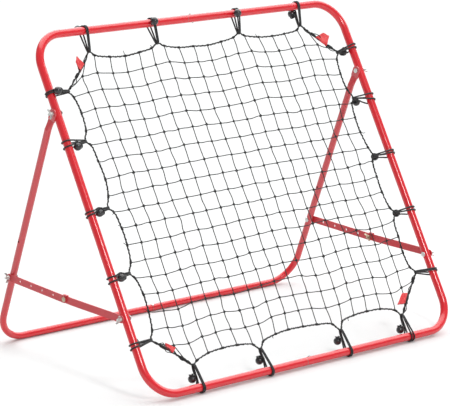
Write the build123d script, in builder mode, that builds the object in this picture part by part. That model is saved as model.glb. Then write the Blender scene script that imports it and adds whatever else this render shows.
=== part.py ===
from build123d import *
import math
import os

os.makedirs("parts", exist_ok=True)

# Overall placement. The object stands on z = 0 and faces -Y.
SHIFT_X = 7.45             # moves the whole object so its box is centred on x = 0
SHIFT_Y = -328.675         # moves the whole object so its box is centred on y = 0

# Front frame: a leaning rounded rectangle of round tube.
FRAME_W = 1056.0           # between the upright axes
FRAME_H = 990.0            # between the rail axes, along the lean
FRAME_R = 85.0             # bend radius of the corners, on the tube axis
LEAN = 31.4                # degrees that the frame leans back from vertical
RAIL_Z = 15.15             # height of the bottom rail axis: tube radius and a cord
TUBE_R = 11.0              # frame tube, 22 mm outside diameter
TUBE_IN = 9.6              # inner radius of the frame tube
SWAGE_R = 9.5              # reduced end that slides into the next tube
SWAGE_IN = 8.3
UP_SEAM = 760.0            # upper tube joint on each upright, along the lean
LOW_SEAM = 236.0           # lower tube joint on each upright
MID_SEAM = -17.0           # tube joint of both rails, just left of the middle
INSERT = 36.0              # length of a reduced end

# Rear stand: a U of thinner tube, hung on the uprights by two pivot bolts.
PIVOT_V = 776.0            # pivot bolts, measured along the uprights
STAND_OFF = -16.4          # the stand sits this far to one side of the frame
BAR_Y = 663.0              # floor bar axis behind the bottom rail axis
LEG_R = 9.5                # stand tube, 19 mm outside diameter
LEG_IN = 8.2
LEG_SWAGE_R = 8.1
LEG_SWAGE_IN = 7.0
STAND_R = 85.0             # bend radius of the stand's lower corners
EYE_HALF = 13.5            # half width of the flattened leg end
EYE_T = 3.0                # thickness of the flattened leg end
C_DOWN = 506.0             # brace bolt on a leg, measured down from the pivot
LEG_SEAM = 490.0           # tube joint in a leg, measured down from the pivot
SPARE_DOWN = 392.0         # spare cross hole in a leg, measured down from the pivot

# Braces: two flat strips each, overlapping at the adjusting bolt.
B_V = 215.0                # brace bolt on an upright, measured along it
STRIP_W = 20.0
STRIP_T = 2.5
PITCH = 50.0               # spacing of the adjusting holes
HOLES = 5                  # adjusting holes after the one on the leg
GAP = 0.4                  # running gap between a strip and the tube it swings on
SLIDE_GAP = 0.3            # running gap between the two strips of a brace

# Fasteners.
BOLT_R = 3.0
BORE_R = 3.06              # running fit on the bolt shank
HEAD_R = 7.0
HEAD_T = 3.4
NUT_L = 8.0

# Net, border rope, ball bungees and corner tags.
NET_T = 1.5
ROPE_W = 5.0
CORD_R = 2.0
BALL_R = 10.75
TAG = 24.0

SIN = math.sin(math.radians(LEAN))
COS = math.cos(math.radians(LEAN))
HALF = FRAME_W / 2
PIVOT_Y = PIVOT_V * SIN
PIVOT_Z = RAIL_Z + PIVOT_V * COS
BAR_Z = LEG_R
LEG_LEN = math.hypot(BAR_Y - PIVOT_Y, PIVOT_Z - BAR_Z)
LSIN = (BAR_Y - PIVOT_Y) / LEG_LEN
LCOS = (PIVOT_Z - BAR_Z) / LEG_LEN
STAND_X = SHIFT_X + STAND_OFF
LEFT_UP = SHIFT_X - HALF
RIGHT_UP = SHIFT_X + HALF
LEFT_LEG = STAND_X - HALF
RIGHT_LEG = STAND_X + HALF
B_Y = B_V * SIN + SHIFT_Y
B_Z = RAIL_Z + B_V * COS
C_Y = PIVOT_Y + C_DOWN * LSIN + SHIFT_Y
C_Z = PIVOT_Z - C_DOWN * LCOS
BC = math.hypot(C_Y - B_Y, C_Z - B_Z)
BCOS = (C_Y - B_Y) / BC
BSIN = (C_Z - B_Z) / BC
FRONT_L = BC - HOLES * PITCH

# Local planes. FRAME: x along the width, y up the lean, z towards the front.
FRAME = Plane(origin=(SHIFT_X, SHIFT_Y, RAIL_Z), x_dir=(1, 0, 0), z_dir=(0, -COS, SIN))
# STAND: x along the width, y up the legs from the floor bar, z forwards and down.
STAND = Plane(origin=(STAND_X, BAR_Y + SHIFT_Y, BAR_Z), x_dir=(1, 0, 0), z_dir=(0, -LCOS, -LSIN))


def save(part, name):
    """Label a finished piece and write its file."""
    part.label = name
    export_step(part, "parts/" + name + ".step")
    print(name, round(part.volume, 1), len(part.solids()))


def on_frame(u, v, n=0.0):
    """World point from frame coordinates."""
    return FRAME.from_local_coords(Vector(u, v, n))


def on_stand(u, w, n=0.0):
    """World point from stand coordinates."""
    return STAND.from_local_coords(Vector(u, w, n))


def frame_plane(u, v, du, dv):
    """Plane across a frame tube at (u, v), facing the direction (du, dv)."""
    far = on_frame(u + du, v + dv)
    here = on_frame(u, v)
    return Plane(origin=here, z_dir=far - here)


def stand_plane(u, w, du, dw):
    """Plane across a stand tube at (u, w), facing the direction (du, dw)."""
    far = on_stand(u + du, w + dw)
    here = on_stand(u, w)
    return Plane(origin=here, z_dir=far - here)


def ring_extrude(plane, outer, inner, length):
    """A length of round tube from a plane, inside the current part."""
    with BuildSketch(plane) as ring:
        Circle(outer)
        Circle(inner, mode=Mode.SUBTRACT)
    extrude(ring.sketch, amount=length)


def bend(plane, outer, inner, centre, turn_dir):
    """A quarter bend of round tube from a plane, inside the current part."""
    with BuildSketch(plane) as ring:
        Circle(outer)
        Circle(inner, mode=Mode.SUBTRACT)
    revolve(ring.sketch, axis=Axis(centre, turn_dir), revolution_arc=90)


def reduced_end(plane, outer, inner, join_r, length):
    """A reduced tube end that starts inside its own tube and runs on past a seam."""
    ring_extrude(plane, join_r, inner, 1.4)
    ring_extrude(plane, outer, inner, length + 1.5)


def cross_hole(y, z, radius):
    """A hole along X through everything at (y, z)."""
    with Locations(Location((0, y, z), (0, 90, 0))):
        Cylinder(radius, 2400, mode=Mode.SUBTRACT)


def hole_between(start, end, radius):
    """A round hole from one world point to another."""
    with BuildSketch(Plane(origin=start, z_dir=end - start)) as mouth:
        Circle(radius)
    extrude(mouth.sketch, amount=(end - start).length, mode=Mode.SUBTRACT)


PIV = (PIVOT_Y + SHIFT_Y, PIVOT_Z)
LOW = (B_Y, B_Z)


# ---------------------------------------------------------------- front frame
def corner_tube(name, side, top, swaged):
    """One L-shaped corner tube, from a rail joint round to an upright joint."""
    rail_v = FRAME_H if top else 0.0
    seam_v = UP_SEAM if top else LOW_SEAM
    bend_v = FRAME_H - FRAME_R if top else FRAME_R
    corner_u = side * (HALF - FRAME_R)
    down = -1 if top else 1
    centre = on_frame(corner_u, bend_v)
    turn_dir = FRAME.z_dir * (side * down)
    with BuildPart() as tube:
        ring_extrude(frame_plane(MID_SEAM, rail_v, side, 0), TUBE_R, TUBE_IN, abs(corner_u - MID_SEAM))
        bend(frame_plane(corner_u, rail_v, side, 0), TUBE_R, TUBE_IN, centre, turn_dir)
        ring_extrude(frame_plane(side * HALF, bend_v, 0, down), TUBE_R, TUBE_IN, abs(bend_v - seam_v))
        if swaged:
            start = frame_plane(MID_SEAM - 1.5, rail_v, 1, 0)
            reduced_end(start, SWAGE_R, SWAGE_IN, 10.2, INSERT)
        cross_hole(PIV[0], PIV[1], 3.25)
        cross_hole(LOW[0], LOW[1], 3.25)
        hole_between(on_frame(0, rail_v - 20), on_frame(0, rail_v + 20), 2.1)
    save(tube.part, name)


def side_tube(name, side):
    """Straight middle tube of an upright with a reduced end in each corner tube."""
    u = side * HALF
    with BuildPart() as tube:
        ring_extrude(frame_plane(u, LOW_SEAM + 0.1, 0, 1), TUBE_R, TUBE_IN, UP_SEAM - LOW_SEAM - 0.2)
        reduced_end(frame_plane(u, UP_SEAM - 1.6, 0, 1), SWAGE_R, SWAGE_IN, 10.2, INSERT)
        reduced_end(frame_plane(u, LOW_SEAM + 1.6, 0, -1), SWAGE_R, SWAGE_IN, 10.2, INSERT)
        cross_hole(PIV[0], PIV[1], 3.25)
        cross_hole(LOW[0], LOW[1], 3.25)
    save(tube.part, name)


corner_tube("frame_tube_top_left", -1, True, True)
corner_tube("frame_tube_top_right", 1, True, False)
corner_tube("frame_tube_bottom_left", -1, False, True)
corner_tube("frame_tube_bottom_right", 1, False, False)
side_tube("frame_tube_side_left", -1)
side_tube("frame_tube_side_right", 1)


# ---------------------------------------------------------------- rear stand
SEAM_W = LEG_LEN - LEG_SEAM
CROSS_C = (C_Y, C_Z)
SPARE_Y = PIVOT_Y + SPARE_DOWN * LSIN + SHIFT_Y
SPARE_Z = PIVOT_Z - SPARE_DOWN * LCOS


def upper_leg(name, side, eye_x):
    """A straight leg tube with a flattened, drilled upper end."""
    u = side * HALF
    eye_u = eye_x - STAND_X
    taper_top = LEG_LEN - 20.0
    taper_low = LEG_LEN - 46.0
    with BuildPart() as leg:
        ring_extrude(stand_plane(u, SEAM_W + 0.1, 0, 1), LEG_R, LEG_IN, taper_low - SEAM_W - 0.1)
        reduced_end(stand_plane(u, SEAM_W + 1.6, 0, -1), LEG_SWAGE_R, LEG_SWAGE_IN, 8.7, INSERT)
        with BuildSketch(Plane(origin=on_stand(u, taper_low - 1.0), x_dir=(1, 0, 0), z_dir=(0, -LSIN, LCOS))):
            Circle(LEG_R)
        flat = Plane(origin=on_stand(eye_u, taper_top), x_dir=(1, 0, 0), z_dir=(0, -LSIN, LCOS))
        with BuildSketch(flat):
            Ellipse(EYE_T * 0.72, EYE_HALF - 0.6)
        loft()
        eye_start = Plane(origin=(eye_x - EYE_T / 2, PIV[0], PIV[1]), x_dir=(0, -LSIN, LCOS), z_dir=(1, 0, 0))
        with BuildSketch(eye_start):
            Circle(EYE_HALF)
            with Locations((-10.0, 0)):
                Rectangle(20.0, EYE_HALF * 2)
            with Locations((-22.0, 0)):
                Rectangle(8.0, EYE_HALF * 2 - 5.0)
        extrude(amount=EYE_T)
        cross_hole(PIV[0], PIV[1], BORE_R)
        cross_hole(CROSS_C[0], CROSS_C[1], 3.25)
        cross_hole(SPARE_Y, SPARE_Z, 3.25)
    save(leg.part, name)


def lower_stand(name, side, swaged):
    """One lower corner tube of the stand, from a leg joint round to the floor bar joint."""
    corner_u = side * (HALF - STAND_R)
    centre = on_stand(corner_u, STAND_R)
    turn_dir = STAND.z_dir * side
    with BuildPart() as tube:
        ring_extrude(stand_plane(MID_SEAM, 0, side, 0), LEG_R, LEG_IN, abs(corner_u - MID_SEAM))
        bend(stand_plane(corner_u, 0, side, 0), LEG_R, LEG_IN, centre, turn_dir)
        ring_extrude(stand_plane(side * HALF, STAND_R, 0, 1), LEG_R, LEG_IN, SEAM_W - STAND_R)
        if swaged:
            start = stand_plane(MID_SEAM - 1.5, 0, 1, 0)
            reduced_end(start, LEG_SWAGE_R, LEG_SWAGE_IN, 8.7, INSERT)
        cross_hole(CROSS_C[0], CROSS_C[1], 3.25)
        hole_between(on_stand(0, -20), on_stand(0, 20), 2.1)
    save(tube.part, name)


EYE_LEFT = LEFT_UP - TUBE_R - GAP - EYE_T / 2
EYE_RIGHT = RIGHT_UP - TUBE_R - GAP - EYE_T / 2
upper_leg("leg_left", -1, EYE_LEFT)
upper_leg("leg_right", 1, EYE_RIGHT)
lower_stand("stand_tube_left", -1, True)
lower_stand("stand_tube_right", 1, False)


# ---------------------------------------------------------------- fasteners
def bolt(name, x_head, direction, y, z, length):
    """A round-headed bolt along X. The head's seat is at x_head, the shank runs in direction."""
    base = Plane(origin=(x_head, y, z), x_dir=(0, 1, 0), z_dir=(direction, 0, 0))
    back = Plane(origin=(x_head, y, z), x_dir=(0, 1, 0), z_dir=(-direction, 0, 0))
    with BuildPart() as fastener:
        with BuildSketch(back):
            Circle(HEAD_R)
        extrude(amount=HEAD_T)
        rim = fastener.edges().filter_by(GeomType.CIRCLE).sort_by(Axis.X)
        fillet(rim[-1] if direction < 0 else rim[0], 2.6)
        with BuildSketch(base):
            Circle(BOLT_R)
        extrude(amount=length)
    save(fastener.part, name)


def wing_nut(name, x_face, direction, y, z, turn):
    """A wing nut along X, seated at x_face, with its wings turned by an angle."""
    ca = math.cos(math.radians(turn))
    sa = math.sin(math.radians(turn))
    seat = Plane(origin=(x_face, y, z), x_dir=(0, ca, sa), z_dir=(direction, 0, 0))
    wing_out = Vector(0, ca, sa)
    wings = Plane(origin=(x_face, y, z), x_dir=wing_out, z_dir=wing_out.cross(Vector(direction, 0, 0)))
    with BuildPart() as nut:
        with BuildSketch(seat):
            Circle(5.6)
        extrude(amount=NUT_L, taper=6)
        for way in (-1, 1):
            with BuildSketch(wings):
                with BuildLine():
                    Polyline((way * 3.4, 1.6), (way * 8.0, 3.2), (way * 12.6, 6.4), (way * 13.6, 10.6),
                             (way * 11.6, 12.4), (way * 8.2, 9.6), (way * 3.4, 7.2), (way * 3.4, 1.6))
                make_face()
            extrude(amount=1.1, both=True)
        with BuildSketch(seat):
            Circle(BORE_R)
        extrude(amount=NUT_L, mode=Mode.SUBTRACT)
    save(nut.part, name)


# Pivot bolts: the left leg is outside its upright, the right leg is inside its upright.
bolt("pivot_bolt_left", LEFT_UP + TUBE_R + 0.1, -1, PIV[0], PIV[1], 38.5)
wing_nut("pivot_wing_nut_left", LEFT_UP - TUBE_R - 2 * GAP - EYE_T, -1, PIV[0], PIV[1], 62)
bolt("pivot_bolt_right", RIGHT_UP - TUBE_R - 2 * GAP - EYE_T, 1, PIV[0], PIV[1], 38.5)
wing_nut("pivot_wing_nut_right", RIGHT_UP + TUBE_R + 0.3, 1, PIV[0], PIV[1], 20)

# Lower front brace bolts on the uprights.
bolt("front_brace_bolt_left", LEFT_UP + TUBE_R + 0.1, -1, LOW[0], LOW[1], 38.0)
wing_nut("front_brace_wing_nut_left", LEFT_UP - TUBE_R - 2 * GAP - STRIP_T, -1, LOW[0], LOW[1], 118)
bolt("front_brace_bolt_right", RIGHT_UP - TUBE_R - 0.1, 1, LOW[0], LOW[1], 38.0)
wing_nut("front_brace_wing_nut_right", RIGHT_UP + TUBE_R + 2 * GAP + STRIP_T, 1, LOW[0], LOW[1], 35)

# Rear brace bolts on the legs.
bolt("rear_brace_bolt_left", LEFT_LEG + LEG_R + 0.1, -1, CROSS_C[0], CROSS_C[1], 35.0)
wing_nut("rear_brace_wing_nut_left", LEFT_LEG - LEG_R - 2 * GAP - STRIP_T, -1, CROSS_C[0], CROSS_C[1], 75)
bolt("rear_brace_bolt_right", RIGHT_LEG - LEG_R - 0.1, 1, CROSS_C[0], CROSS_C[1], 35.0)
wing_nut("rear_brace_wing_nut_right", RIGHT_LEG + LEG_R + 2 * GAP + STRIP_T, 1, CROSS_C[0], CROSS_C[1], 20)


# ---------------------------------------------------------------- braces
def along(s):
    """World (y, z) of a point on the brace line, s from the upright bolt to the leg bolt."""
    return (B_Y + s * BCOS, B_Z + s * BSIN)


def strip(name, s_from, s_to, bends, holes, keeper):
    """A flat strip with rounded ends. bends lists (s, x) of its inner face, x the world X."""
    layer = Plane(origin=(0, B_Y, B_Z), x_dir=(0, BCOS, BSIN), z_dir=(0, BSIN, -BCOS))
    near = bends + [(s, x + STRIP_T) for s, x in reversed(bends)]
    low = min(x for s, x in bends) - 5
    outline = Plane(origin=(low, B_Y, B_Z), x_dir=(0, BCOS, BSIN), z_dir=(1, 0, 0))
    with BuildPart() as flat:
        with BuildSketch(layer):
            Polygon(*near, align=None)
        extrude(amount=STRIP_W / 2, both=True)
        with BuildSketch(outline):
            with Locations(((s_from + s_to) / 2, 0)):
                SlotOverall(s_to - s_from + STRIP_W, STRIP_W)
        extrude(amount=40, mode=Mode.INTERSECT)
        if keeper:
            s_mid, x_low, x_high, x_over_low, x_over_high = keeper
            with BuildSketch(Plane(origin=(x_low, B_Y, B_Z), x_dir=(0, BCOS, BSIN), z_dir=(1, 0, 0))):
                with Locations((s_mid, STRIP_W / 2 + 0.6)):
                    Rectangle(16.0, 4.0)
            extrude(amount=x_high - x_low)
            with BuildSketch(Plane(origin=(x_over_low, B_Y, B_Z), x_dir=(0, BCOS, BSIN), z_dir=(1, 0, 0))):
                with Locations((s_mid, STRIP_W / 2 + 2.2)):
                    Rectangle(16.0, 2.0)
            extrude(amount=x_over_high - x_over_low)
        for s in holes:
            y, z = along(s)
            fit = 3.25 if abs(s) > 0.01 and abs(s - BC) > 0.01 else BORE_R
            cross_hole(y, z, fit)
    save(flat.part, name)


ROW = [BC - k * PITCH for k in range(HOLES + 1)]
L_REAR = LEFT_LEG - LEG_R - GAP - STRIP_T
L_FRONT_B = LEFT_UP - TUBE_R - GAP - STRIP_T
L_FRONT_D = L_REAR + STRIP_T + SLIDE_GAP
R_REAR = RIGHT_LEG + LEG_R + GAP
R_FRONT_B = RIGHT_UP + TUBE_R + GAP
R_FRONT_D = R_REAR + STRIP_T + SLIDE_GAP
FAR = FRONT_L + 30
REAR_BENDS = (FRONT_L - 30, BC + 30)
L_BENDS = [(-30, L_FRONT_B), (16, L_FRONT_B), (FRONT_L - 30, L_FRONT_D), (FAR, L_FRONT_D)]
R_BENDS = [(-30, R_FRONT_B), (16, R_FRONT_B), (FRONT_L - 30, R_FRONT_D), (FAR, R_FRONT_D)]
L_KEEP = (FRONT_L - 5, L_FRONT_D, L_FRONT_D + STRIP_T, L_REAR - 1.0, L_FRONT_D + STRIP_T)
R_KEEP = (FRONT_L - 5, R_FRONT_D, R_FRONT_D + STRIP_T, R_REAR - 1.0, R_FRONT_D + STRIP_T)
strip("brace_rear_strip_left", FRONT_L, BC, [(s, L_REAR) for s in REAR_BENDS], ROW, None)
strip("brace_rear_strip_right", FRONT_L, BC, [(s, R_REAR) for s in REAR_BENDS], ROW, None)
strip("brace_front_strip_left", 0, FRONT_L, L_BENDS, [0, FRONT_L], L_KEEP)
strip("brace_front_strip_right", 0, FRONT_L, R_BENDS, [0, FRONT_L], R_KEEP)

# Adjusting bolts. Each is parted between the two strips, where the closed linkage is opened.
DY, DZ = along(FRONT_L)
bolt("adjust_bolt_left", L_REAR - 0.05, 1, DY, DZ, STRIP_T)
bolt("adjust_bolt_right", R_FRONT_D + STRIP_T + 0.05, -1, DY, DZ, STRIP_T)


def stud(name, x_start, x_end):
    """The threaded half of an adjusting bolt."""
    with BuildPart() as half:
        with BuildSketch(Plane(origin=(x_start, DY, DZ), x_dir=(0, 1, 0), z_dir=(1, 0, 0))):
            Circle(BOLT_R)
        extrude(amount=x_end - x_start)
    save(half.part, name)


stud("adjust_thread_left", L_FRONT_D, L_FRONT_D + STRIP_T + 12.0)
stud("adjust_thread_right", R_REAR - 12.0, R_REAR + STRIP_T)
wing_nut("adjust_wing_nut_left", L_FRONT_D + STRIP_T + 0.3, 1, DY, DZ, 30)
wing_nut("adjust_wing_nut_right", R_REAR - 0.3, -1, DY, DZ, 40)


# ---------------------------------------------------------------- joint screws
def screw(name, start, way, length):
    """A short screw through a tube joint. start is its head's seat, way its direction."""
    with BuildPart() as pin:
        with BuildSketch(Plane(origin=start, z_dir=way * -1)):
            Circle(3.8)
        extrude(amount=2.2)
        with BuildSketch(Plane(origin=start, z_dir=way)):
            Circle(2.0)
        extrude(amount=length)
    save(pin.part, name)


V_DIR = on_frame(0, 1) - on_frame(0, 0)
W_DIR = on_stand(0, 1) - on_stand(0, 0)
screw("rail_screw_top", on_frame(0, FRAME_H + TUBE_R + 0.05), V_DIR * -1, 2 * TUBE_R + 3.0)
screw("rail_screw_bottom", on_frame(0, TUBE_R + 0.05), V_DIR * -1, 2 * TUBE_R + 3.0)


# ---------------------------------------------------------------- net and rope
# Points where a bungee holds the border rope, in frame coordinates, going round,
# and the centre of each bungee's ball as (u, v, n), n being how far in front of the frame plane.
TOP_HOOKS = [(-367, 932), (-140, 932), (145, 932), (368, 932)]
RIGHT_HOOKS = [(470, 838), (468, 696), (465, 520), (470, 348), (466, 171)]
BOTTOM_HOOKS = [(362, 62), (135, 60), (-148, 60), (-372, 60)]
LEFT_HOOKS = [(-474, 147), (-472, 327), (-470, 505), (-471, 690), (-472, 830)]
TOP_BALLS = [(-364.5, 1002.5, -18.6), (-146, 985, 26.2), (142, 981, 26.2), (369, 974.5, -17)]
RIGHT_BALLS = [(505, 840.5, -14), (489, 688.5, -17), (485, 521.5, -17), (489, 349.5, -17), (543, 175.5, -18.3)]
BOTTOM_BALLS = [(352, 25.5, -15), (126, 36, -17), (-150, 34, -17), (-379, 28, -15)]
LEFT_BALLS = [(-513, 151.5, -18.3), (-506.5, 318, 8), (-506, 495, 8), (-506, 677, 9), (-518, 829, 21)]
CORNERS = {
    "top_left": (-409, 898),
    "top_right": (436, 881),
    "bottom_left": (-426, 115),
    "bottom_right": (388, 107),
}
BIG = TUBE_R + CORD_R + 0.15              # bungee loop round the tube, to the cord's axis
SMALL = ROPE_W * 0.7072 + CORD_R + 0.3    # bungee loop round the border rope
FLAT = 6.5                                # half length of rope held straight by a bungee


def segment_distance(px, py, ax, ay, bx, by):
    """Distance from a point to a segment."""
    share = ((px - ax) * (bx - ax) + (py - ay) * (by - ay)) / ((bx - ax) ** 2 + (by - ay) ** 2)
    share = min(1.0, max(0.0, share))
    return math.hypot(px - ax - share * (bx - ax), py - ay - share * (by - ay))


def loop_place(hook_along, ball_along, out, n, reach):
    """Where a bungee's loops sit along the tube: at the hook, or just beside the ball."""
    near = abs(math.hypot(out, n) - BIG)
    near = min(near, segment_distance(out, n, 0, BIG, reach, SMALL))
    near = min(near, segment_distance(out, n, 0, -BIG, reach, -SMALL))
    if near > BALL_R + CORD_R + 0.2 or abs(hook_along - ball_along) > BALL_R + 5.6:
        return hook_along
    way = 1 if hook_along >= ball_along else -1
    return ball_along + way * (BALL_R + 5.6)


def rail_places(hooks, balls, rail_v):
    """Loop places of the bungees on a rail, as points of the border rope."""
    places = []
    for hook, ball in zip(hooks, balls):
        reach = abs(rail_v - hook[1])
        place = loop_place(hook[0], ball[0], abs(rail_v - ball[1]), ball[2], reach)
        places.append((place, hook[1]))
    return places


def side_places(hooks, balls):
    """Loop places of the bungees on an upright, as points of the border rope."""
    places = []
    for hook, ball in zip(hooks, balls):
        reach = HALF - abs(hook[0])
        place = loop_place(hook[1], ball[1], HALF - abs(ball[0]), ball[2], reach)
        places.append((hook[0], place))
    return places


TOP_PLACES = rail_places(TOP_HOOKS, TOP_BALLS, FRAME_H)
BOTTOM_PLACES = rail_places(BOTTOM_HOOKS, BOTTOM_BALLS, 0.0)
LEFT_PLACES = side_places(LEFT_HOOKS, LEFT_BALLS)
RIGHT_PLACES = side_places(RIGHT_HOOKS, RIGHT_BALLS)


def flats(places, du, dv):
    """Two points for each hold, so that the rope runs straight through it."""
    out = []
    for u, v in places:
        out.append((u - du * FLAT, v - dv * FLAT))
        out.append((u + du * FLAT, v + dv * FLAT))
    return out


def outline_points():
    """The border rope's run: straight to each hook, drawn in between two hooks."""
    ring = [CORNERS["top_left"]] + flats(TOP_PLACES, 1, 0) + [CORNERS["top_right"]]
    ring = ring + flats(RIGHT_PLACES, 0, -1) + [CORNERS["bottom_right"]]
    ring = ring + flats(BOTTOM_PLACES, -1, 0) + [CORNERS["bottom_left"]] + flats(LEFT_PLACES, 0, 1)
    points = []
    for i, here in enumerate(ring):
        after = ring[(i + 1) % len(ring)]
        span = math.dist(here, after)
        mid = ((here[0] + after[0]) / 2, (here[1] + after[1]) / 2)
        sag = 0.10 * span if span > 120 else 0.0
        inward = (-(after[1] - here[1]) / span, (after[0] - here[0]) / span)
        toward = inward[0] * (0 - mid[0]) + inward[1] * (FRAME_H / 2 - mid[1])
        sign = 1 if toward > 0 else -1
        points.append(here)
        if sag:
            for share, depth in ((0.12, 0.62), (0.3, 0.93), (0.5, 1.0), (0.7, 0.93), (0.88, 0.62)):
                x = here[0] + (after[0] - here[0]) * share + sign * inward[0] * sag * depth
                y = here[1] + (after[1] - here[1]) * share + sign * inward[1] * sag * depth
                points.append((x, y))
    return points


RING = outline_points()


def shrink(points, by):
    """Move each point of a closed outline towards the inside by a distance."""
    out = []
    count = len(points)
    for i in range(count):
        a = points[i - 1]
        b = points[i]
        c = points[(i + 1) % count]
        d1 = (b[0] - a[0], b[1] - a[1])
        d2 = (c[0] - b[0], c[1] - b[1])
        l1 = math.hypot(d1[0], d1[1])
        l2 = math.hypot(d2[0], d2[1])
        n1 = (d1[1] / l1, -d1[0] / l1)
        n2 = (d2[1] / l2, -d2[0] / l2)
        nx = n1[0] + n2[0]
        ny = n1[1] + n2[1]
        size = nx * nx + ny * ny
        out.append((b[0] + 2 * by * nx / size, b[1] + 2 * by * ny / size))
    return out


with BuildPart() as rope:
    with BuildSketch(FRAME.offset(-ROPE_W / 2)):
        Polygon(*shrink(RING, -ROPE_W / 2), align=None)
        Polygon(*shrink(RING, ROPE_W / 2), align=None, mode=Mode.SUBTRACT)
    extrude(amount=ROPE_W)
save(rope.part, "net_border_rope")

with BuildPart() as net:
    with BuildSketch(FRAME.offset(-NET_T / 2)):
        Polygon(*shrink(RING, ROPE_W / 2 + 0.02), align=None)
        with Locations(*TOP_PLACES, *BOTTOM_PLACES):
            Rectangle(11.0, 2 * SMALL + 6.0, mode=Mode.SUBTRACT)
        with Locations(*LEFT_PLACES, *RIGHT_PLACES):
            Rectangle(2 * SMALL + 6.0, 11.0, mode=Mode.SUBTRACT)
    extrude(amount=NET_T)
save(net.part, "net_panel")

for corner, (cu, cv) in CORNERS.items():
    with BuildPart() as tag:
        with BuildSketch(FRAME.offset(ROPE_W / 2 + 0.1)):
            with Locations(Location((cu, cv, 0), (0, 0, 12))):
                Rectangle(TAG, TAG)
        extrude(amount=1.2)
    save(tag.part, "corner_tag_" + corner)


# ---------------------------------------------------------------- ball bungees
def belt(origin, out_dir, reach):
    """One cord loop round a tube and the border rope. out_dir points from the tube to the net."""
    side_dir = FRAME.z_dir
    flat = Plane(origin=origin, x_dir=out_dir, z_dir=out_dir.cross(side_dir))
    tilt = math.asin((BIG - SMALL) / reach)
    ct = math.cos(tilt)
    st = math.sin(tilt)
    a_up = (BIG * st, BIG * ct)
    a_dn = (BIG * st, -BIG * ct)
    b_up = (reach + SMALL * st, SMALL * ct)
    b_dn = (reach + SMALL * st, -SMALL * ct)
    with BuildLine(flat) as loop:
        Line(a_up, b_up)
        ThreePointArc(b_up, (reach + SMALL, 0), b_dn)
        Line(b_dn, a_dn)
        ThreePointArc(a_dn, (-BIG, 0), a_up)
    start = flat.from_local_coords(Vector(a_up[0], a_up[1], 0))
    ahead = flat.from_local_coords(Vector(b_up[0], b_up[1], 0))
    with BuildSketch(Plane(origin=start, z_dir=ahead - start)) as section:
        Circle(CORD_R)
    sweep(section.sketch, path=loop.wires()[0])


def bungee(name, tube_uv, axis_uv, out_uv, place, reach, ball):
    """Two cord loops side by side and the ball that locks them, as one node."""
    out_dir = on_frame(out_uv[0], out_uv[1]) - on_frame(0, 0)
    with BuildPart() as toggle:
        for step in (-2.6, 2.6):
            s = place + step
            belt(on_frame(tube_uv[0] + axis_uv[0] * s, tube_uv[1] + axis_uv[1] * s), out_dir, reach)
        with Locations(on_frame(ball[0], ball[1], ball[2])):
            Sphere(BALL_R)
    save(toggle.part, name)


for i, (ball, place) in enumerate(zip(TOP_BALLS, TOP_PLACES)):
    bungee("bungee_top_%d" % (i + 1), (0, FRAME_H), (1, 0), (0, -1), place[0], FRAME_H - place[1], ball)
for i, (ball, place) in enumerate(zip(BOTTOM_BALLS, BOTTOM_PLACES)):
    bungee("bungee_bottom_%d" % (i + 1), (0, 0), (1, 0), (0, 1), place[0], place[1], ball)
for i, (ball, place) in enumerate(zip(LEFT_BALLS, LEFT_PLACES)):
    bungee("bungee_left_%d" % (i + 1), (-HALF, 0), (0, 1), (1, 0), place[1], HALF + place[0], ball)
for i, (ball, place) in enumerate(zip(RIGHT_BALLS, RIGHT_PLACES)):
    bungee("bungee_right_%d" % (i + 1), (HALF, 0), (0, 1), (-1, 0), place[1], HALF - place[0], ball)

# The floor bar's joint screw.
screw("bar_screw", on_stand(0, LEG_R + 0.05), W_DIR * -1, 2 * LEG_R - 0.6)
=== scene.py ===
"""Pitch back rebounder: camera, light, materials and the soft parts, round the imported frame."""
import math

import bpy
import numpy as np
from mathutils import Matrix, Vector


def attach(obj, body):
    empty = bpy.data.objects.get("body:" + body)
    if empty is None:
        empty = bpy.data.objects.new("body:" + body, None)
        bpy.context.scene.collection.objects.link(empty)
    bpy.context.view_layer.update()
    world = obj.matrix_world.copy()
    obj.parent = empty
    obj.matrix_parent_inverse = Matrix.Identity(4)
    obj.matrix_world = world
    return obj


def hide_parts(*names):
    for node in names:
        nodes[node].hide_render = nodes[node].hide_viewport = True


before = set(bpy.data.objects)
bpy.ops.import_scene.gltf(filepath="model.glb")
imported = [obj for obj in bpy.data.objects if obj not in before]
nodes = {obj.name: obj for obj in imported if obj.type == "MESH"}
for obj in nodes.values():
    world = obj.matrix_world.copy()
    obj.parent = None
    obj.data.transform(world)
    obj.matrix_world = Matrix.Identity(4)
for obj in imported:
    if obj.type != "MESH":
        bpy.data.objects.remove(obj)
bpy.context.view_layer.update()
rng = np.random.default_rng(311)
MM = 0.001

# ------------------------------------------------------------------ the part's own frame
SHIFT_X, SHIFT_Y, RAIL_Z = 7.45, -328.675, 15.15
FRAME_W, FRAME_H = 1056.0, 990.0
HALF = FRAME_W / 2
LEAN = math.radians(31.4)
TUBE_R = 11.0
CORD_R = 2.15
BALL_R = 10.75
X_DIR = np.array([1.0, 0.0, 0.0])
V_DIR = np.array([0.0, math.sin(LEAN), math.cos(LEAN)])
N_DIR = np.array([0.0, -math.cos(LEAN), math.sin(LEAN)])
ORIGIN = np.array([SHIFT_X, SHIFT_Y, RAIL_Z])


def place(points):
    """Frame coordinates (u, v, n) in millimetres to the shared frame in metres."""
    p = np.atleast_2d(np.asarray(points, float))
    world = ORIGIN + p[:, :1] * X_DIR + p[:, 1:2] * V_DIR + p[:, 2:3] * N_DIR
    return world * MM


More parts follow.
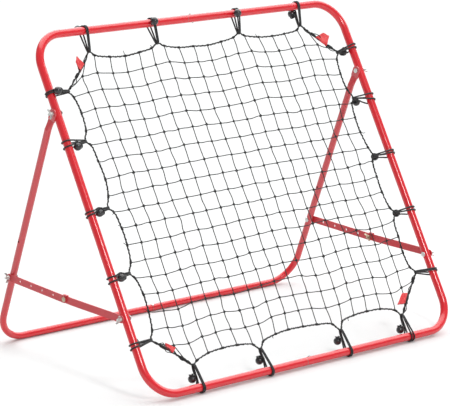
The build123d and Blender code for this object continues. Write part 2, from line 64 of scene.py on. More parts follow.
# ------------------------------------------------------------------ camera
TO_CAMERA = Vector((-0.62115, -0.74746, 0.23557))
CAMERA_AT = Vector((-3.8662, -4.6285, 1.8419))
ROLL = math.radians(0.739)
ahead = -TO_CAMERA.normalized()
right = ahead.cross(Vector((0, 0, 1))).normalized()
up = right.cross(ahead)
cam_x = math.cos(ROLL) * right + math.sin(ROLL) * up
cam_y = -math.sin(ROLL) * right + math.cos(ROLL) * up
turn = Matrix((cam_x, cam_y, -ahead)).transposed()
lens = bpy.data.cameras.new("camera")
lens.lens = 183.2
lens.sensor_width = 36.0
lens.clip_end = 60.0
camera = bpy.data.objects.new("camera", lens)
camera.matrix_world = Matrix.Translation(CAMERA_AT) @ turn.to_4x4()
bpy.context.scene.collection.objects.link(camera)
bpy.context.scene.camera = camera


# ------------------------------------------------------------------ materials
class Nodes:
    """A small helper for building a node material."""

    def __init__(self, name):
        self.material = bpy.data.materials.new(name)
        self.material.use_nodes = True
        self.tree = self.material.node_tree
        self.shader = self.tree.nodes["Principled BSDF"]

    def new(self, kind, **values):
        node = self.tree.nodes.new(kind)
        for key, value in values.items():
            if hasattr(node, key):
                setattr(node, key, value)
            else:
                node.inputs[key].default_value = value
        return node

    def link(self, start, end):
        self.tree.links.new(start, end)

    def noise(self, coords, scale, detail=2.0, rough=0.5):
        node = self.new("ShaderNodeTexNoise")
        node.inputs["Scale"].default_value = scale
        node.inputs["Detail"].default_value = detail
        node.inputs["Roughness"].default_value = rough
        self.link(coords, node.inputs["Vector"])
        return node.outputs["Fac"]

    def ramp(self, value, low, high, out_low, out_high):
        node = self.new("ShaderNodeMapRange")
        node.clamp = True
        limits = {"From Min": low, "From Max": high, "To Min": out_low, "To Max": out_high}
        for key, number in limits.items():
            node.inputs[key].default_value = number
        self.link(value, node.inputs["Value"])
        return node.outputs["Result"]

    def mix(self, value, first, second):
        node = self.new("ShaderNodeMix", data_type="RGBA")
        self.link(value, node.inputs["Factor"])
        for key, colour in (("A", first), ("B", second)):
            socket = [s for s in node.inputs if s.name == key and s.type == "RGBA"][0]
            if isinstance(colour, tuple):
                socket.default_value = colour + (1.0,)
            else:
                self.link(colour, socket)
        return [s for s in node.outputs if s.type == "RGBA"][0]

    def bump(self, height, strength, distance, under=None):
        node = self.new("ShaderNodeBump")
        node.inputs["Strength"].default_value = strength
        node.inputs["Distance"].default_value = distance
        self.link(height, node.inputs["Height"])
        if under is not None:
            self.link(under, node.inputs["Normal"])
        return node.outputs["Normal"]

    def finish(self, colour, rough, normal, **constant):
        self.link(colour, self.shader.inputs["Base Color"])
        self.link(rough, self.shader.inputs["Roughness"])
        self.link(normal, self.shader.inputs["Normal"])
        for key, value in constant.items():
            self.shader.inputs[key.replace("_", " ")].default_value = value
        return self.material


# The joint line of a rail lies at this x, and its worn paint reaches this far each side, in metres.
JOINT_X = -0.00955
WORN_FULL, WORN_END = 0.0007, 0.0016


def powder_coat(name, main, shade, rough, coat, painted_sheen=None):
    """Gloss powder coat: a fine orange peel, slow colour drift, a few tiny chips, worn joint lines and, when
    given, a painted sheen above the bends.
    """
    m = Nodes(name)
    at = m.new("ShaderNodeTexCoord").outputs["Object"]
    drift = m.ramp(m.noise(at, 9.0, 3.0), 0.35, 0.65, 0.0, 1.0)
    colour = m.mix(drift, main, shade)
    if painted_sheen:
        # Painted sheen: the paint is duller and paler above the bends than on the bar near the floor,
        # standing in for the soft white reflection on the upper stand tubes and the legs.
        height = m.new("ShaderNodeSeparateXYZ")
        m.link(at, height.inputs[0])
        colour = m.mix(m.ramp(height.outputs["Z"], 0.05, 0.15, 0.0, 1.0), colour, painted_sheen)
    grain = m.ramp(m.noise(at, 420.0, 2.0), 0.3, 0.7, 0.0, 0.06)
    colour = m.mix(grain, colour, tuple(c * 0.6 for c in shade))
    chips = m.new("ShaderNodeTexVoronoi")
    chips.inputs["Scale"].default_value = 95.0
    chips.inputs["Randomness"].default_value = 1.0
    m.link(at, chips.inputs["Vector"])
    rare = m.ramp(m.noise(at, 31.0, 1.0), 0.70, 0.74, 0.0, 1.0)
    dot = m.ramp(chips.outputs["Distance"], 0.05, 0.09, 1.0, 0.0)
    both = m.new("ShaderNodeMath", operation="MULTIPLY")
    m.link(rare, both.inputs[0])
    m.link(dot, both.inputs[1])
    colour = m.mix(both.outputs[0], colour, (0.30, 0.27, 0.26))
    # Paint worn off along the joint lines near the middle of the rails, which lie across x.
    across = m.new("ShaderNodeSeparateXYZ")
    m.link(at, across.inputs[0])
    away = m.new("ShaderNodeMath", operation="ABSOLUTE")
    middle = m.new("ShaderNodeMath", operation="ADD")
    m.link(across.outputs["X"], middle.inputs[0])
    middle.inputs[1].default_value = -JOINT_X
    m.link(middle.outputs[0], away.inputs[0])
    worn = m.ramp(away.outputs[0], WORN_FULL, WORN_END, 0.75, 0.0)
    colour = m.mix(worn, colour, (0.30, 0.10, 0.10))
    gloss = m.ramp(m.noise(at, 40.0, 3.0, 0.5), 0.3, 0.7, rough - 0.03, rough + 0.05)
    peel = m.bump(m.noise(at, 150.0, 1.0), 0.04, 0.0001)
    return m.finish(colour, gloss, peel, Coat_Weight=coat, Coat_Roughness=0.09, IOR=1.5)


def zinc(name, tint, rough):
    """Bright zinc plate with a spangle, fine turning marks and a slight dulling."""
    m = Nodes(name)
    at = m.new("ShaderNodeTexCoord").outputs["Object"]
    cells = m.new("ShaderNodeTexVoronoi")
    cells.inputs["Scale"].default_value = 520.0
    m.link(at, cells.inputs["Vector"])
    spangle = m.ramp(cells.outputs["Distance"], 0.0, 0.8, 0.0, 1.0)
    colour = m.mix(spangle, tint, tuple(c * 0.78 for c in tint))
    dull = m.ramp(m.noise(at, 160.0, 4.0), 0.45, 0.7, 0.0, 0.5)
    colour = m.mix(dull, colour, (0.42, 0.42, 0.38))
    gloss = m.ramp(m.noise(at, 240.0, 3.0), 0.3, 0.7, rough - 0.08, rough + 0.1)
    marks = m.bump(m.noise(at, 1500.0, 2.0), 0.2, 0.00012)
    return m.finish(colour, gloss, marks, Metallic=0.9)


def fibre(name, main, fleck, per_metre, rough, flecks=0.72):
    """Twine or rope: fine fibres across the strand, a fuzzy roughness and pale flecks."""
    m = Nodes(name)
    at = m.new("ShaderNodeTexCoord").outputs["Object"]
    lay = m.new("ShaderNodeUVMap", uv_map="lay").outputs["UV"]
    wave = m.new("ShaderNodeTexWave", bands_direction="DIAGONAL")
    wave.inputs["Scale"].default_value = per_metre
    wave.inputs["Distortion"].default_value = 1.5
    wave.inputs["Detail"].default_value = 1.0
    m.link(lay, wave.inputs["Vector"])
    tone = m.ramp(m.noise(at, 55.0, 3.0), 0.35, 0.65, 0.0, 1.0)
    colour = m.mix(tone, main, tuple(c * 1.7 for c in main))
    pale = m.ramp(m.noise(at, 700.0, 2.0), flecks, flecks + 0.06, 0.0, 0.8)
    colour = m.mix(pale, colour, fleck)
    dark = m.ramp(wave.outputs["Fac"], 0.0, 0.45, 0.55, 0.0)
    colour = m.mix(dark, colour, tuple(c * 0.4 for c in main))
    fuzz = m.ramp(m.noise(at, 1800.0, 2.0), 0.3, 0.7, rough - 0.1, rough + 0.08)
    thread = m.bump(wave.outputs["Fac"], 0.6, 0.0003)
    thread = m.bump(m.noise(at, 2600.0, 2.0), 0.35, 0.0002, thread)
    return m.finish(colour, fuzz, thread, Sheen_Weight=0.12, Sheen_Roughness=0.5)


def braid(name, main, fleck):
    """Braided elastic sleeve: two crossing sets of fine diagonal bands."""
    m = Nodes(name)
    at = m.new("ShaderNodeTexCoord").outputs["Object"]
    lay = m.new("ShaderNodeUVMap", uv_map="lay").outputs["UV"]
    bands = []
    for way in (1.0, -1.0):
        turned = m.new("ShaderNodeMapping")
        turned.inputs["Scale"].default_value = (way * 0.9, 1.0, 1.0)
        m.link(lay, turned.inputs["Vector"])
        wave = m.new("ShaderNodeTexWave", bands_direction="DIAGONAL")
        wave.inputs["Scale"].default_value = 2.2
        m.link(turned.outputs["Vector"], wave.inputs["Vector"])
        bands.append(wave.outputs["Fac"])
    weave = m.new("ShaderNodeMath", operation="MULTIPLY")
    m.link(bands[0], weave.inputs[0])
    m.link(bands[1], weave.inputs[1])
    thread = m.ramp(weave.outputs[0], 0.1, 0.75, 0.0, 1.0)
    colour = m.mix(thread, tuple(c * 0.45 for c in main), tuple(c * 1.5 for c in main))
    pale = m.ramp(m.noise(at, 900.0, 2.0), 0.68, 0.74, 0.0, 0.7)
    colour = m.mix(pale, colour, fleck)
    fuzz = m.ramp(m.noise(at, 1500.0, 2.0), 0.3, 0.7, 0.5, 0.72)
    height = m.bump(thread, 0.8, 0.0004)
    return m.finish(colour, fuzz, height, Sheen_Weight=0.2, Sheen_Roughness=0.4)


def moulded(name, main):
    """Black moulded plastic: satin, a faint grain and handling scuffs."""
    m = Nodes(name)
    at = m.new("ShaderNodeTexCoord").outputs["Object"]
    tone = m.ramp(m.noise(at, 80.0, 3.0), 0.35, 0.65, 0.0, 1.0)
    colour = m.mix(tone, main, tuple(c * 1.9 for c in main))
    scuff = m.ramp(m.noise(at, 420.0, 5.0, 0.7), 0.60, 0.72, 0.0, 0.35)
    colour = m.mix(scuff, colour, (0.12, 0.12, 0.125))
    gloss = m.ramp(m.noise(at, 150.0, 3.0), 0.3, 0.7, 0.22, 0.38)
    grain = m.bump(m.noise(at, 1600.0, 2.0), 0.25, 0.00018)
    return m.finish(colour, gloss, grain, Coat_Weight=0.5, Coat_Roughness=0.12)


def tape(name, main, shade):
    """Woven red tape: warp and weft ribs, a sheen and a slight fading."""
    m = Nodes(name)
    at = m.new("ShaderNodeTexCoord").outputs["Object"]
    lay = m.new("ShaderNodeUVMap", uv_map="lay").outputs["UV"]
    ribs = []
    for way in ("X", "Y"):
        wave = m.new("ShaderNodeTexWave", bands_direction=way)
        wave.inputs["Scale"].default_value = 14.0
        m.link(lay, wave.inputs["Vector"])
        ribs.append(wave.outputs["Fac"])
    weave = m.new("ShaderNodeMath", operation="MULTIPLY")
    m.link(ribs[0], weave.inputs[0])
    m.link(ribs[1], weave.inputs[1])
    colour = m.mix(m.ramp(weave.outputs[0], 0.0, 0.6, 0.0, 1.0), shade, main)
    fade = m.ramp(m.noise(at, 70.0, 3.0), 0.4, 0.7, 0.0, 0.35)
    colour = m.mix(fade, colour, (0.93, 0.20, 0.18))
    fuzz = m.ramp(m.noise(at, 900.0, 2.0), 0.3, 0.7, 0.62, 0.82)
    height = m.bump(weave.outputs[0], 0.5, 0.0003)
    return m.finish(colour, fuzz, height, Sheen_Weight=0.35, Sheen_Roughness=0.4)


FRAME_PAINT = powder_coat("frame_paint", (0.735, 0.010, 0.021), (0.685, 0.008, 0.018), 0.20, 0.65)
# The stand's duller, paler red above the bends is painted sheen, standing in for the soft white reflection
# on its upper tubes and legs.
STAND_PAINT = powder_coat("stand_paint", (0.75, 0.011, 0.022), (0.70, 0.009, 0.019), 0.22, 0.6,
                          painted_sheen=(0.61, 0.055, 0.066))
# The braces' paler, duller red is painted sheen, standing in for the soft white reflection on their flat
# sides.
BRACE_PAINT = powder_coat("brace_paint", (0.64, 0.040, 0.053), (0.58, 0.034, 0.046), 0.42, 0.2)
ZINC = zinc("bolt_zinc", (0.78, 0.79, 0.77), 0.30)
NUT_ZINC = zinc("wing_nut_zinc", (0.74, 0.75, 0.73), 0.38)
DULL_ZINC = zinc("dull_zinc", (0.60, 0.50, 0.36), 0.45)
TWINE = fibre("net_twine", (0.012, 0.012, 0.013), (0.09, 0.09, 0.09), 3.0, 0.82)
ROPE = fibre("border_rope", (0.008, 0.008, 0.009), (0.45, 0.45, 0.44), 2.5, 0.8, 0.61)
BRAID = braid("bungee_cord", (0.014, 0.015, 0.017), (0.13, 0.13, 0.14))
BALL = moulded("bungee_ball", (0.010, 0.010, 0.012))
TAPE = tape("tag_tape", (0.86, 0.055, 0.060), (0.60, 0.020, 0.028))


def repaint(names, material):
    for name in names:
        mesh = nodes[name].data
        for slot in range(len(mesh.materials)):
            mesh.materials[slot] = material


repaint([n for n in nodes if n.startswith("frame_tube")], FRAME_PAINT)
repaint([n for n in nodes if n.startswith(("leg_", "stand_tube"))], STAND_PAINT)
repaint([n for n in nodes if n.startswith(("brace_front", "brace_rear"))], BRACE_PAINT)
repaint([n for n in nodes if "bolt" in n or "thread" in n or "screw" in n], ZINC)
repaint([n for n in nodes if "wing_nut" in n], NUT_ZINC)
repaint([n for n in nodes if n.startswith("adjust_")], DULL_ZINC)


# ------------------------------------------------------------------ mesh building
class Soup:
    """Collects tubes and lumps into one mesh, with a UV that runs round and along them."""

    def __init__(self):
        self.points = []
        self.faces = []
        self.lay = []
        self.slots = []
        self.count = 0

    def add(self, points, faces, lay, slot=0):
        points = np.asarray(points, float)
        for face, uv in zip(faces, lay):
            self.faces.append([int(k) + self.count for k in face])
            self.lay.extend(uv)
            self.slots.append(slot)
        self.points.append(points)
        self.count += len(points)

    def build(self, name, materials, slot, *stands_for):
        mesh = bpy.data.meshes.new(name)
        mesh.from_pydata(np.vstack(self.points).tolist(), [], self.faces)
        uv = mesh.uv_layers.new(name="lay")
        uv.data.foreach_set("uv", np.asarray(self.lay, np.float32).ravel())
        for material in materials:
            mesh.materials.append(material)
        mesh.polygons.foreach_set("material_index", self.slots)
        mesh.polygons.foreach_set("use_smooth", [True] * len(mesh.polygons))
        mesh.update()
        obj = bpy.data.objects.new(name, mesh)
        bpy.context.scene.collection.objects.link(obj)
        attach(obj, "front_frame")
        if stands_for:
            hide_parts(*stands_for)
        return obj


def unit(v):
    return v / np.maximum(np.linalg.norm(v, axis=-1, keepdims=True), 1e-12)


def tangents(points, closed):
    if closed:
        return unit(np.roll(points, -1, 0) - np.roll(points, 1, 0))
    return unit(np.gradient(points, axis=0))


def tube(soup, points, side, radius, sides=8, closed=False, slot=0, lobes=0, depth=0.0, twist=0.0):
    """A tube along points in metres. side is a direction across it, one or one for each point."""
    points = np.asarray(points, float)
    count = len(points)
    along = tangents(points, closed)
    side = np.broadcast_to(np.asarray(side, float), points.shape)
    a = unit(side - (side * along).sum(1, keepdims=True) * along)
    b = np.cross(along, a)
    steps = np.linalg.norm(np.diff(points, axis=0), axis=1)
    run = np.concatenate([[0.0], np.cumsum(steps)])
    angle = np.arange(sides) * 2 * math.pi / sides
    radius = np.broadcast_to(np.asarray(radius, float), (count,))
    size = radius[:, None] * (1 + depth * np.cos(lobes * (angle[None] - twist * run[:, None])))
    out = np.cos(angle)[None, :, None] * a[:, None] + np.sin(angle)[None, :, None] * b[:, None]
    rim = points[:, None] + size[..., None] * out
    faces = []
    lay = []
    scale = 1.0 / (2 * math.pi * float(radius.mean()))
    last = count if closed else count - 1
    length = run[-1] + (np.linalg.norm(points[0] - points[-1]) if closed else 0.0)
    for i in range(last):
        j = (i + 1) % count
        v0 = run[i] * scale
        v1 = (run[j] if j else length) * scale
        for k in range(sides):
            m = (k + 1) % sides
            faces.append((i * sides + k, i * sides + m, j * sides + m, j * sides + k))
            u0 = k / sides
            u1 = (k + 1) / sides
            lay.append(((u0, v0), (u1, v0), (u1, v1), (u0, v1)))
    if not closed:
        faces.append(tuple(range(sides - 1, -1, -1)))
        lay.append([(0.5, 0.0)] * sides)
        faces.append(tuple((count - 1) * sides + k for k in range(sides)))
        lay.append([(0.5, 0.0)] * sides)
    soup.add(rim.reshape(-1, 3), faces, lay, slot)


def smooth_line(points, per_span, closed=False):
    """A centripetal Catmull-Rom curve through points."""
    p = np.asarray(points, float)
    if closed:
        p = np.vstack([p[-1], p, p[0], p[1]])
    else:
        p = np.vstack([2 * p[0] - p[1], p, 2 * p[-1] - p[-2]])
    out = []
    for i in range(1, len(p) - 2):
        p0, p1, p2, p3 = p[i - 1], p[i], p[i + 1], p[i + 2]
        t1 = max(np.linalg.norm(p1 - p0), 1e-9) ** 0.5
        t2 = t1 + max(np.linalg.norm(p2 - p1), 1e-9) ** 0.5
        t3 = t2 + max(np.linalg.norm(p3 - p2), 1e-9) ** 0.5
        for t in np.linspace(t1, t2, per_span, endpoint=False):
            a1 = (t1 - t) / t1 * p0 + t / t1 * p1
            a2 = (t2 - t) / (t2 - t1) * p1 + (t - t1) / (t2 - t1) * p2
            a3 = (t3 - t) / (t3 - t2) * p2 + (t - t2) / (t3 - t2) * p3
            b1 = (t2 - t) / t2 * a1 + t / t2 * a2
            b2 = (t3 - t) / (t3 - t1) * a2 + (t - t1) / (t3 - t1) * a3
            out.append((t2 - t) / (t2 - t1) * b1 + (t - t1) / (t2 - t1) * b2)
    if not closed:
        out.append(p[-2])
    return np.array(out)


def resample(points, step, closed=False):
    """The same line with even steps."""
    p = np.asarray(points, float)
    if closed:
        p = np.vstack([p, p[0]])
    run = np.concatenate([[0.0], np.cumsum(np.linalg.norm(np.diff(p, axis=0), axis=1))])
    count = max(3, int(round(run[-1] / step)))
    at = np.linspace(0, run[-1], count + 1)
    if closed:
        at = at[:-1]
    return np.stack([np.interp(at, run, p[:, k]) for k in range(p.shape[1])], 1)


# ------------------------------------------------------------------ net: where everything is held
# Holds of the border rope, and the ends of the net's lines on it, as (u, v) in millimetres.
TOP_HOOKS = [(-367, 932), (-140, 932), (145, 932), (368, 932)]
RIGHT_HOOKS = [(470, 838), (468, 696), (465, 520), (470, 348), (466, 171)]
BOTTOM_HOOKS = [(362, 62), (135, 60), (-148, 60), (-372, 60)]
LEFT_HOOKS = [(-474, 147), (-472, 327), (-470, 505), (-471, 690), (-472, 830)]
COLUMNS, ROWS = 20, 19
TOP_ENDS = [(-387, 910), (-355, 920), (-307, 910), (-258, 907), (-210, 912), (-163, 920), (-122, 922),
            (-75, 912), (-24, 910), (23, 908), (73, 913), (120, 921), (160, 923), (208, 913), (257, 911),
            (303, 913), (353, 920), (389, 913)]
BOTTOM_ENDS = [(-391, 77), (-358, 69), (-314, 82), (-265, 86), (-217, 85), (-167, 77), (-130, 79),
               (-83, 90), (-37, 94), (14, 93), (63, 90), (113, 82), (150, 82), (198, 92), (246, 94),
               (295, 92), (345, 79), (391, 92)]
LEFT_ENDS = [(-462, 839), (-461, 813), (-454, 767), (-458, 719), (-458, 679), (-452, 631), (-449, 582),
             (-457, 537), (-457, 493), (-449, 448), (-450, 401), (-457, 354), (-460, 313), (-451, 267),
             (-453, 220), (-461, 171), (-461, 136)]
RIGHT_ENDS = [(455, 852), (459, 818), (453, 772), (456, 727), (456, 682), (449, 640), (449, 594),
              (457, 546), (455, 506), (450, 459), (449, 412), (457, 364), (455, 328), (450, 278),
              (446, 232), (452, 187), (445, 149)]


def merge(ends, hooks, key, falling):
    """Net ends and bungee holds in order along one side."""
    both = [("end", p) for p in ends] + [("hook", p) for p in hooks]
    return sorted(both, key=lambda entry: entry[1][key], reverse=falling)


ring = merge(TOP_ENDS, TOP_HOOKS, 0, False) + merge(RIGHT_ENDS, RIGHT_HOOKS, 1, True)
ring = ring + merge(BOTTOM_ENDS, BOTTOM_HOOKS, 0, True) + merge(LEFT_ENDS, LEFT_HOOKS, 1, False)
rope_line = smooth_line([(p[0], p[1], 0.0) for _, p in ring], 24, closed=True)
rope_line = resample(rope_line, 2.0, closed=True)
wobble = np.convolve(np.tile(rng.normal(0, 1.0, len(rope_line)), 3), np.hanning(23) / 11.0, "same")
ROPE_WOBBLE = 0.35
rope_line[:, 2] += wobble[len(rope_line):2 * len(rope_line)] * ROPE_WOBBLE

# The net's squares at rest, and how the relaxation moves its knots in each round.
SQUARE_U, SQUARE_V = 47.2, 45.4
ROUNDS = 900
SPRING = 0.35
SMOOTHING = 0.04
# How far the knots are then scattered, in the net's plane and out of it.
KNOT_DRIFT, KNOT_LIFT = 0.9, 0.5


def relax_net():
    """Knot places: lines of nearly fixed length, pulled by their ends on the rope."""
    grid = np.zeros((COLUMNS, ROWS, 2))
    s = np.linspace(0, 1, COLUMNS)[:, None, None]
    t = np.linspace(0, 1, ROWS)[None, :, None]
    left = np.array([LEFT_HOOKS[-1]] + LEFT_ENDS + [LEFT_HOOKS[0]], float)[None]
    right_side = np.array([RIGHT_HOOKS[0]] + RIGHT_ENDS + [RIGHT_HOOKS[-1]], float)[None]
    top = np.array([TOP_HOOKS[0]] + TOP_ENDS + [TOP_HOOKS[-1]], float)[:, None]
    bottom = np.array([BOTTOM_HOOKS[-1]] + BOTTOM_ENDS + [BOTTOM_HOOKS[0]], float)[:, None]
    across = (1 - s) * left + s * right_side
    down = (1 - t) * top + t * bottom
    grid[:] = 0.5 * (across + down)
    grid[0] = left[0]
    grid[-1] = right_side[0]
    grid[:, 0] = top[:, 0]
    grid[:, -1] = bottom[:, 0]
    free = np.zeros((COLUMNS, ROWS, 1))
    free[1:-1, 1:-1] = 1.0
    for _ in range(ROUNDS):
        for start in (0, 1):
            a = grid[start:-1:2, 1:-1]
            b = grid[start + 1::2, 1:-1]
            a = a[:len(b)]
            span = b - a
            size = np.linalg.norm(span, axis=2, keepdims=True)
            push = span * (size - SQUARE_U) / size * SPRING
            grid[start:-1:2, 1:-1][:len(b)] += push * free[start:-1:2, 1:-1][:len(b)]
            grid[start + 1::2, 1:-1] -= push * free[start + 1::2, 1:-1]
            a = grid[1:-1, start:-1:2]
            b = grid[1:-1, start + 1::2]
            a = a[:, :b.shape[1]]
            span = b - a
            size = np.linalg.norm(span, axis=2, keepdims=True)
            push = span * (size - SQUARE_V) / size * SPRING
            grid[1:-1, start:-1:2][:, :b.shape[1]] += push * free[1:-1, start:-1:2][:, :b.shape[1]]
            grid[1:-1, start + 1::2] -= push * free[1:-1, start + 1::2]
        mean = 0.25 * (grid[:-2, 1:-1] + grid[2:, 1:-1] + grid[1:-1, :-2] + grid[1:-1, 2:])
        grid[1:-1, 1:-1] = (1 - SMOOTHING) * grid[1:-1, 1:-1] + SMOOTHING * mean
    return grid


knots = relax_net()
knots[1:-1, 1:-1] += rng.normal(0, KNOT_DRIFT, (COLUMNS - 2, ROWS - 2, 2))
knot_n = np.zeros((COLUMNS, ROWS))
knot_n[1:-1, 1:-1] = rng.normal(0, KNOT_LIFT, (COLUMNS - 2, ROWS - 2))


# ------------------------------------------------------------------ net twine
TWINE_R = 1.28
# One turn of the twine's two plies, in metres.
TWINE_LAY = 0.0155
KNOT_TUBE_R = 1.6


def twine(soup, start, end, bow):
    """One leg of the mesh: a twisted two-lobed line with a slight bow."""
    start = np.asarray(start, float)
    end = np.asarray(end, float)
    share = np.linspace(0, 1, 17)[:, None]
    span = end - start
    across = np.array([-span[1], span[0], 0.0])
    across /= np.linalg.norm(across)
    line = start + share * span
    line = line + np.sin(math.pi * share) * bow[0] * across
    line = line + np.sin(2 * math.pi * share) * bow[1] * across
    line[:, 2] += (np.sin(math.pi * share) * bow[2])[:, 0]
    tube(soup, place(line), N_DIR, TWINE_R * MM, 7, lobes=2, depth=0.07, twist=2 * math.pi / TWINE_LAY)


def knot(soup, centre, angle, size):
    """A tight knot, drawn as a small trefoil that is longer along one diagonal."""
    t = np.linspace(0, 2 * math.pi, 22, endpoint=False)
    x = (np.sin(t) + 2 * np.sin(2 * t)) * 1.15 * size
    y = (np.cos(t) - 2 * np.cos(2 * t)) * 0.80 * size
    z = -np.sin(3 * t) * 1.0 * size
    c, s = math.cos(angle), math.sin(angle)
    line = np.stack([centre[0] + c * x - s * y, centre[1] + s * x + c * y, centre[2] + z], 1)
    tube(soup, place(line), N_DIR + 0.3 * X_DIR, KNOT_TUBE_R * MM * size, 6, closed=True)


net = Soup()
for i in range(1, COLUMNS - 1):
    for j in range(ROWS - 1):
        a = (*knots[i, j], knot_n[i, j])
        b = (*knots[i, j + 1], knot_n[i, j + 1])
        twine(net, a, b, rng.normal(0, 1, 3) * (0.7, 0.5, 0.5))
for j in range(1, ROWS - 1):
    for i in range(COLUMNS - 1):
        a = (*knots[i, j], knot_n[i, j])
        b = (*knots[i + 1, j], knot_n[i + 1, j])
        twine(net, a, b, rng.normal(0, 1, 3) * (0.7, 0.5, 0.5) - (0.9, 0, 0))
for i in range(1, COLUMNS - 1):
    for j in range(1, ROWS - 1):
        lean = math.radians(45 if (i + j) % 2 else 38) + rng.normal(0, 0.2)
        knot(net, (*knots[i, j], knot_n[i, j]), lean, 1.0 + rng.normal(0, 0.06))
net.build("net_twine", [TWINE], "net_black", "net_panel")


# ------------------------------------------------------------------ border rope
rope_world = place(rope_line)
rope_run = np.concatenate([[0.0], np.cumsum(np.linalg.norm(np.diff(rope_line, axis=0), axis=1))])
rope_total = rope_run[-1] + np.linalg.norm(rope_line[0] - rope_line[-1])
rope_along = tangents(rope_world, True)
rope_side = unit(np.cross(rope_along, N_DIR))
rope_up = np.cross(rope_side, rope_along)
# Each of the three strands: its radius, its distance from the rope's middle, and how far both vary.
STRAND_R, STRAND_R_VARIES = 1.0, 0.2
STRAND_OUT, STRAND_OUT_VARIES = 1.15, 0.45
ROPE_LAY = 21.0
LAY_TURNS = round(rope_total / ROPE_LAY)
rope = Soup()
for strand in range(3):
    phase = 2 * math.pi * (LAY_TURNS * rope_run / rope_total + strand / 3)
    out = np.cos(phase)[:, None] * rope_side + np.sin(phase)[:, None] * rope_up
    uneven = np.convolve(np.tile(rng.normal(0, 1, len(rope_run)), 3), np.hanning(9) / 4.0, "same")
    uneven = uneven[len(rope_run):2 * len(rope_run), None]
    strand_line = rope_world + out * (STRAND_OUT + STRAND_OUT_VARIES * uneven) * MM
    strand_r = (STRAND_R + STRAND_R_VARIES * uneven[:, 0]) * MM
    tube(rope, strand_line, out, strand_r, 6, closed=True)


def lashing(soup, middle, turns, pitch, radius, thick):
    """A few turns of twine round the rope."""
    count = int(turns * 12) + 1
    phase = np.linspace(0, 2 * math.pi * turns, count) + rng.uniform(0, 6.28)
    runs = middle + (np.linspace(-0.5, 0.5, count)) * turns * pitch
    index = np.interp(np.mod(runs, rope_total), rope_run, np.arange(len(rope_run)))
    low = np.floor(index).astype(int) % len(rope_run)
    centre = rope_world[low] + (index - np.floor(index))[:, None] * (
        rope_world[(low + 1) % len(rope_run)] - rope_world[low]
    )
    out = np.cos(phase)[:, None] * rope_side[low] + np.sin(phase)[:, None] * rope_up[low]
    tube(soup, centre + out * radius * MM, out, thick * MM, 5, slot=1)


# No lashing is made this near the place where the rope's line starts and ends.
START_MARGIN, BUNCH_MARGIN = 14, 20
end_runs = []
for kind, point in ring:
    nearest = np.argmin(np.hypot(rope_line[:, 0] - point[0], rope_line[:, 1] - point[1]))
    if kind == "end":
        end_runs.append(float(rope_run[nearest]))
for run in end_runs:
    if START_MARGIN < run < rope_total - START_MARGIN:
        lashing(rope, run + rng.normal(0, 1.0), rng.choice([3, 4, 5]), 1.9, 2.5, 0.95)
stops = sorted(end_runs)
for a, b in zip(stops, stops[1:]):
    gap = b - a
    if gap > 30:
        lashing(rope, (a + b) / 2, round(gap / 17.0), (gap - 8) / round(gap / 17.0), 2.35, 0.75)
# Thicker bunches where the net's corner squares are gathered on the rope.
BUNCHES = [(-430, 871), (-397, 902), (403, 900), (450, 857), (-446, 123), (-398, 82), (400, 100), (448, 150)]
for corner in BUNCHES:
    nearest = np.argmin(np.hypot(rope_line[:, 0] - corner[0], rope_line[:, 1] - corner[1]))
    if BUNCH_MARGIN < rope_run[nearest] < rope_total - BUNCH_MARGIN:
        lashing(rope, float(rope_run[nearest]), 6, 2.6, 3.4, 1.0)


def stray(soup, start, end, spread, thick):
    """A loose strand of the net's gathered edge, wandering along the rope between two of its holds."""
    first, last = (
        int(np.argmin(np.hypot(rope_line[:, 0] - p[0], rope_line[:, 1] - p[1]))) for p in (start, end)
    )
    count = (last - first) % len(rope_line)
    index = (first + np.arange(0, count + 1)) % len(rope_line)
    share = np.linspace(0, 1, len(index))
    off = []
    for _ in range(2):
        wander = np.interp(share * 8, np.arange(9), rng.normal(0, 1, 9))
        off.append(wander * np.minimum(1, 6 * share * (1 - share)) * spread)
    off = np.array([np.convolve(np.pad(o, 4, "edge"), np.hanning(9) / 4.0, "valid") for o in off])
    line = rope_world[index] + (off[0][:, None] * rope_side[index] + off[1][:, None] * rope_up[index]) * MM
    tube(soup, line, rope_up[index], thick * MM, 6, slot=1, lobes=2, depth=0.15, twist=420.0)


# The loose strands at each corner: the holds they run between, and how many there are.
STRAYS = [(LEFT_HOOKS[-1], TOP_HOOKS[0], 3), (TOP_HOOKS[-1], RIGHT_HOOKS[0], 3),
          (RIGHT_HOOKS[-1], BOTTOM_HOOKS[0], 6), (BOTTOM_HOOKS[-1], LEFT_HOOKS[0], 4)]
STRAY_SPREAD, STRAY_R = 3.4, 1.1
for start, end, many in STRAYS:
    for _ in range(many):
        stray(rope, start, end, STRAY_SPREAD, STRAY_R)
# Cut ends left standing off the rope.
TAILS = [((-258, 907), (-260, 921)), ((-449, 448), (-462, 454)), ((-450, 401), (-463, 407)),
         ((-452, 222), (-467, 227)), ((449, 594), (464, 592)), ((445, 234), (437, 250)),
         ((456, 684), (440, 687)), ((-457, 495), (-466, 485)), ((-163, 919), (-168, 927)),
         ((203, 913), (199, 922)), ((-93, 89), (-96, 80)), ((170, 88), (168, 79)), ((456, 330), (447, 322))]
for start, end in TAILS:
    a = np.array([start[0], start[1], 2.0])
    b = np.array([end[0], end[1], 4.0 + rng.normal(0, 1.5)])
    middle = (a + b) / 2 + rng.normal(0, 1.0, 3)
    line = smooth_line([a, middle, b], 5)
    thick = np.linspace(1.0, 0.8, len(line)) * MM
    tube(rope, place(line), N_DIR, thick, 6, slot=1, lobes=2, depth=0.2, twist=600.0)
rope.build("border_rope", [ROPE, TWINE], "rope_black", "net_border_rope")


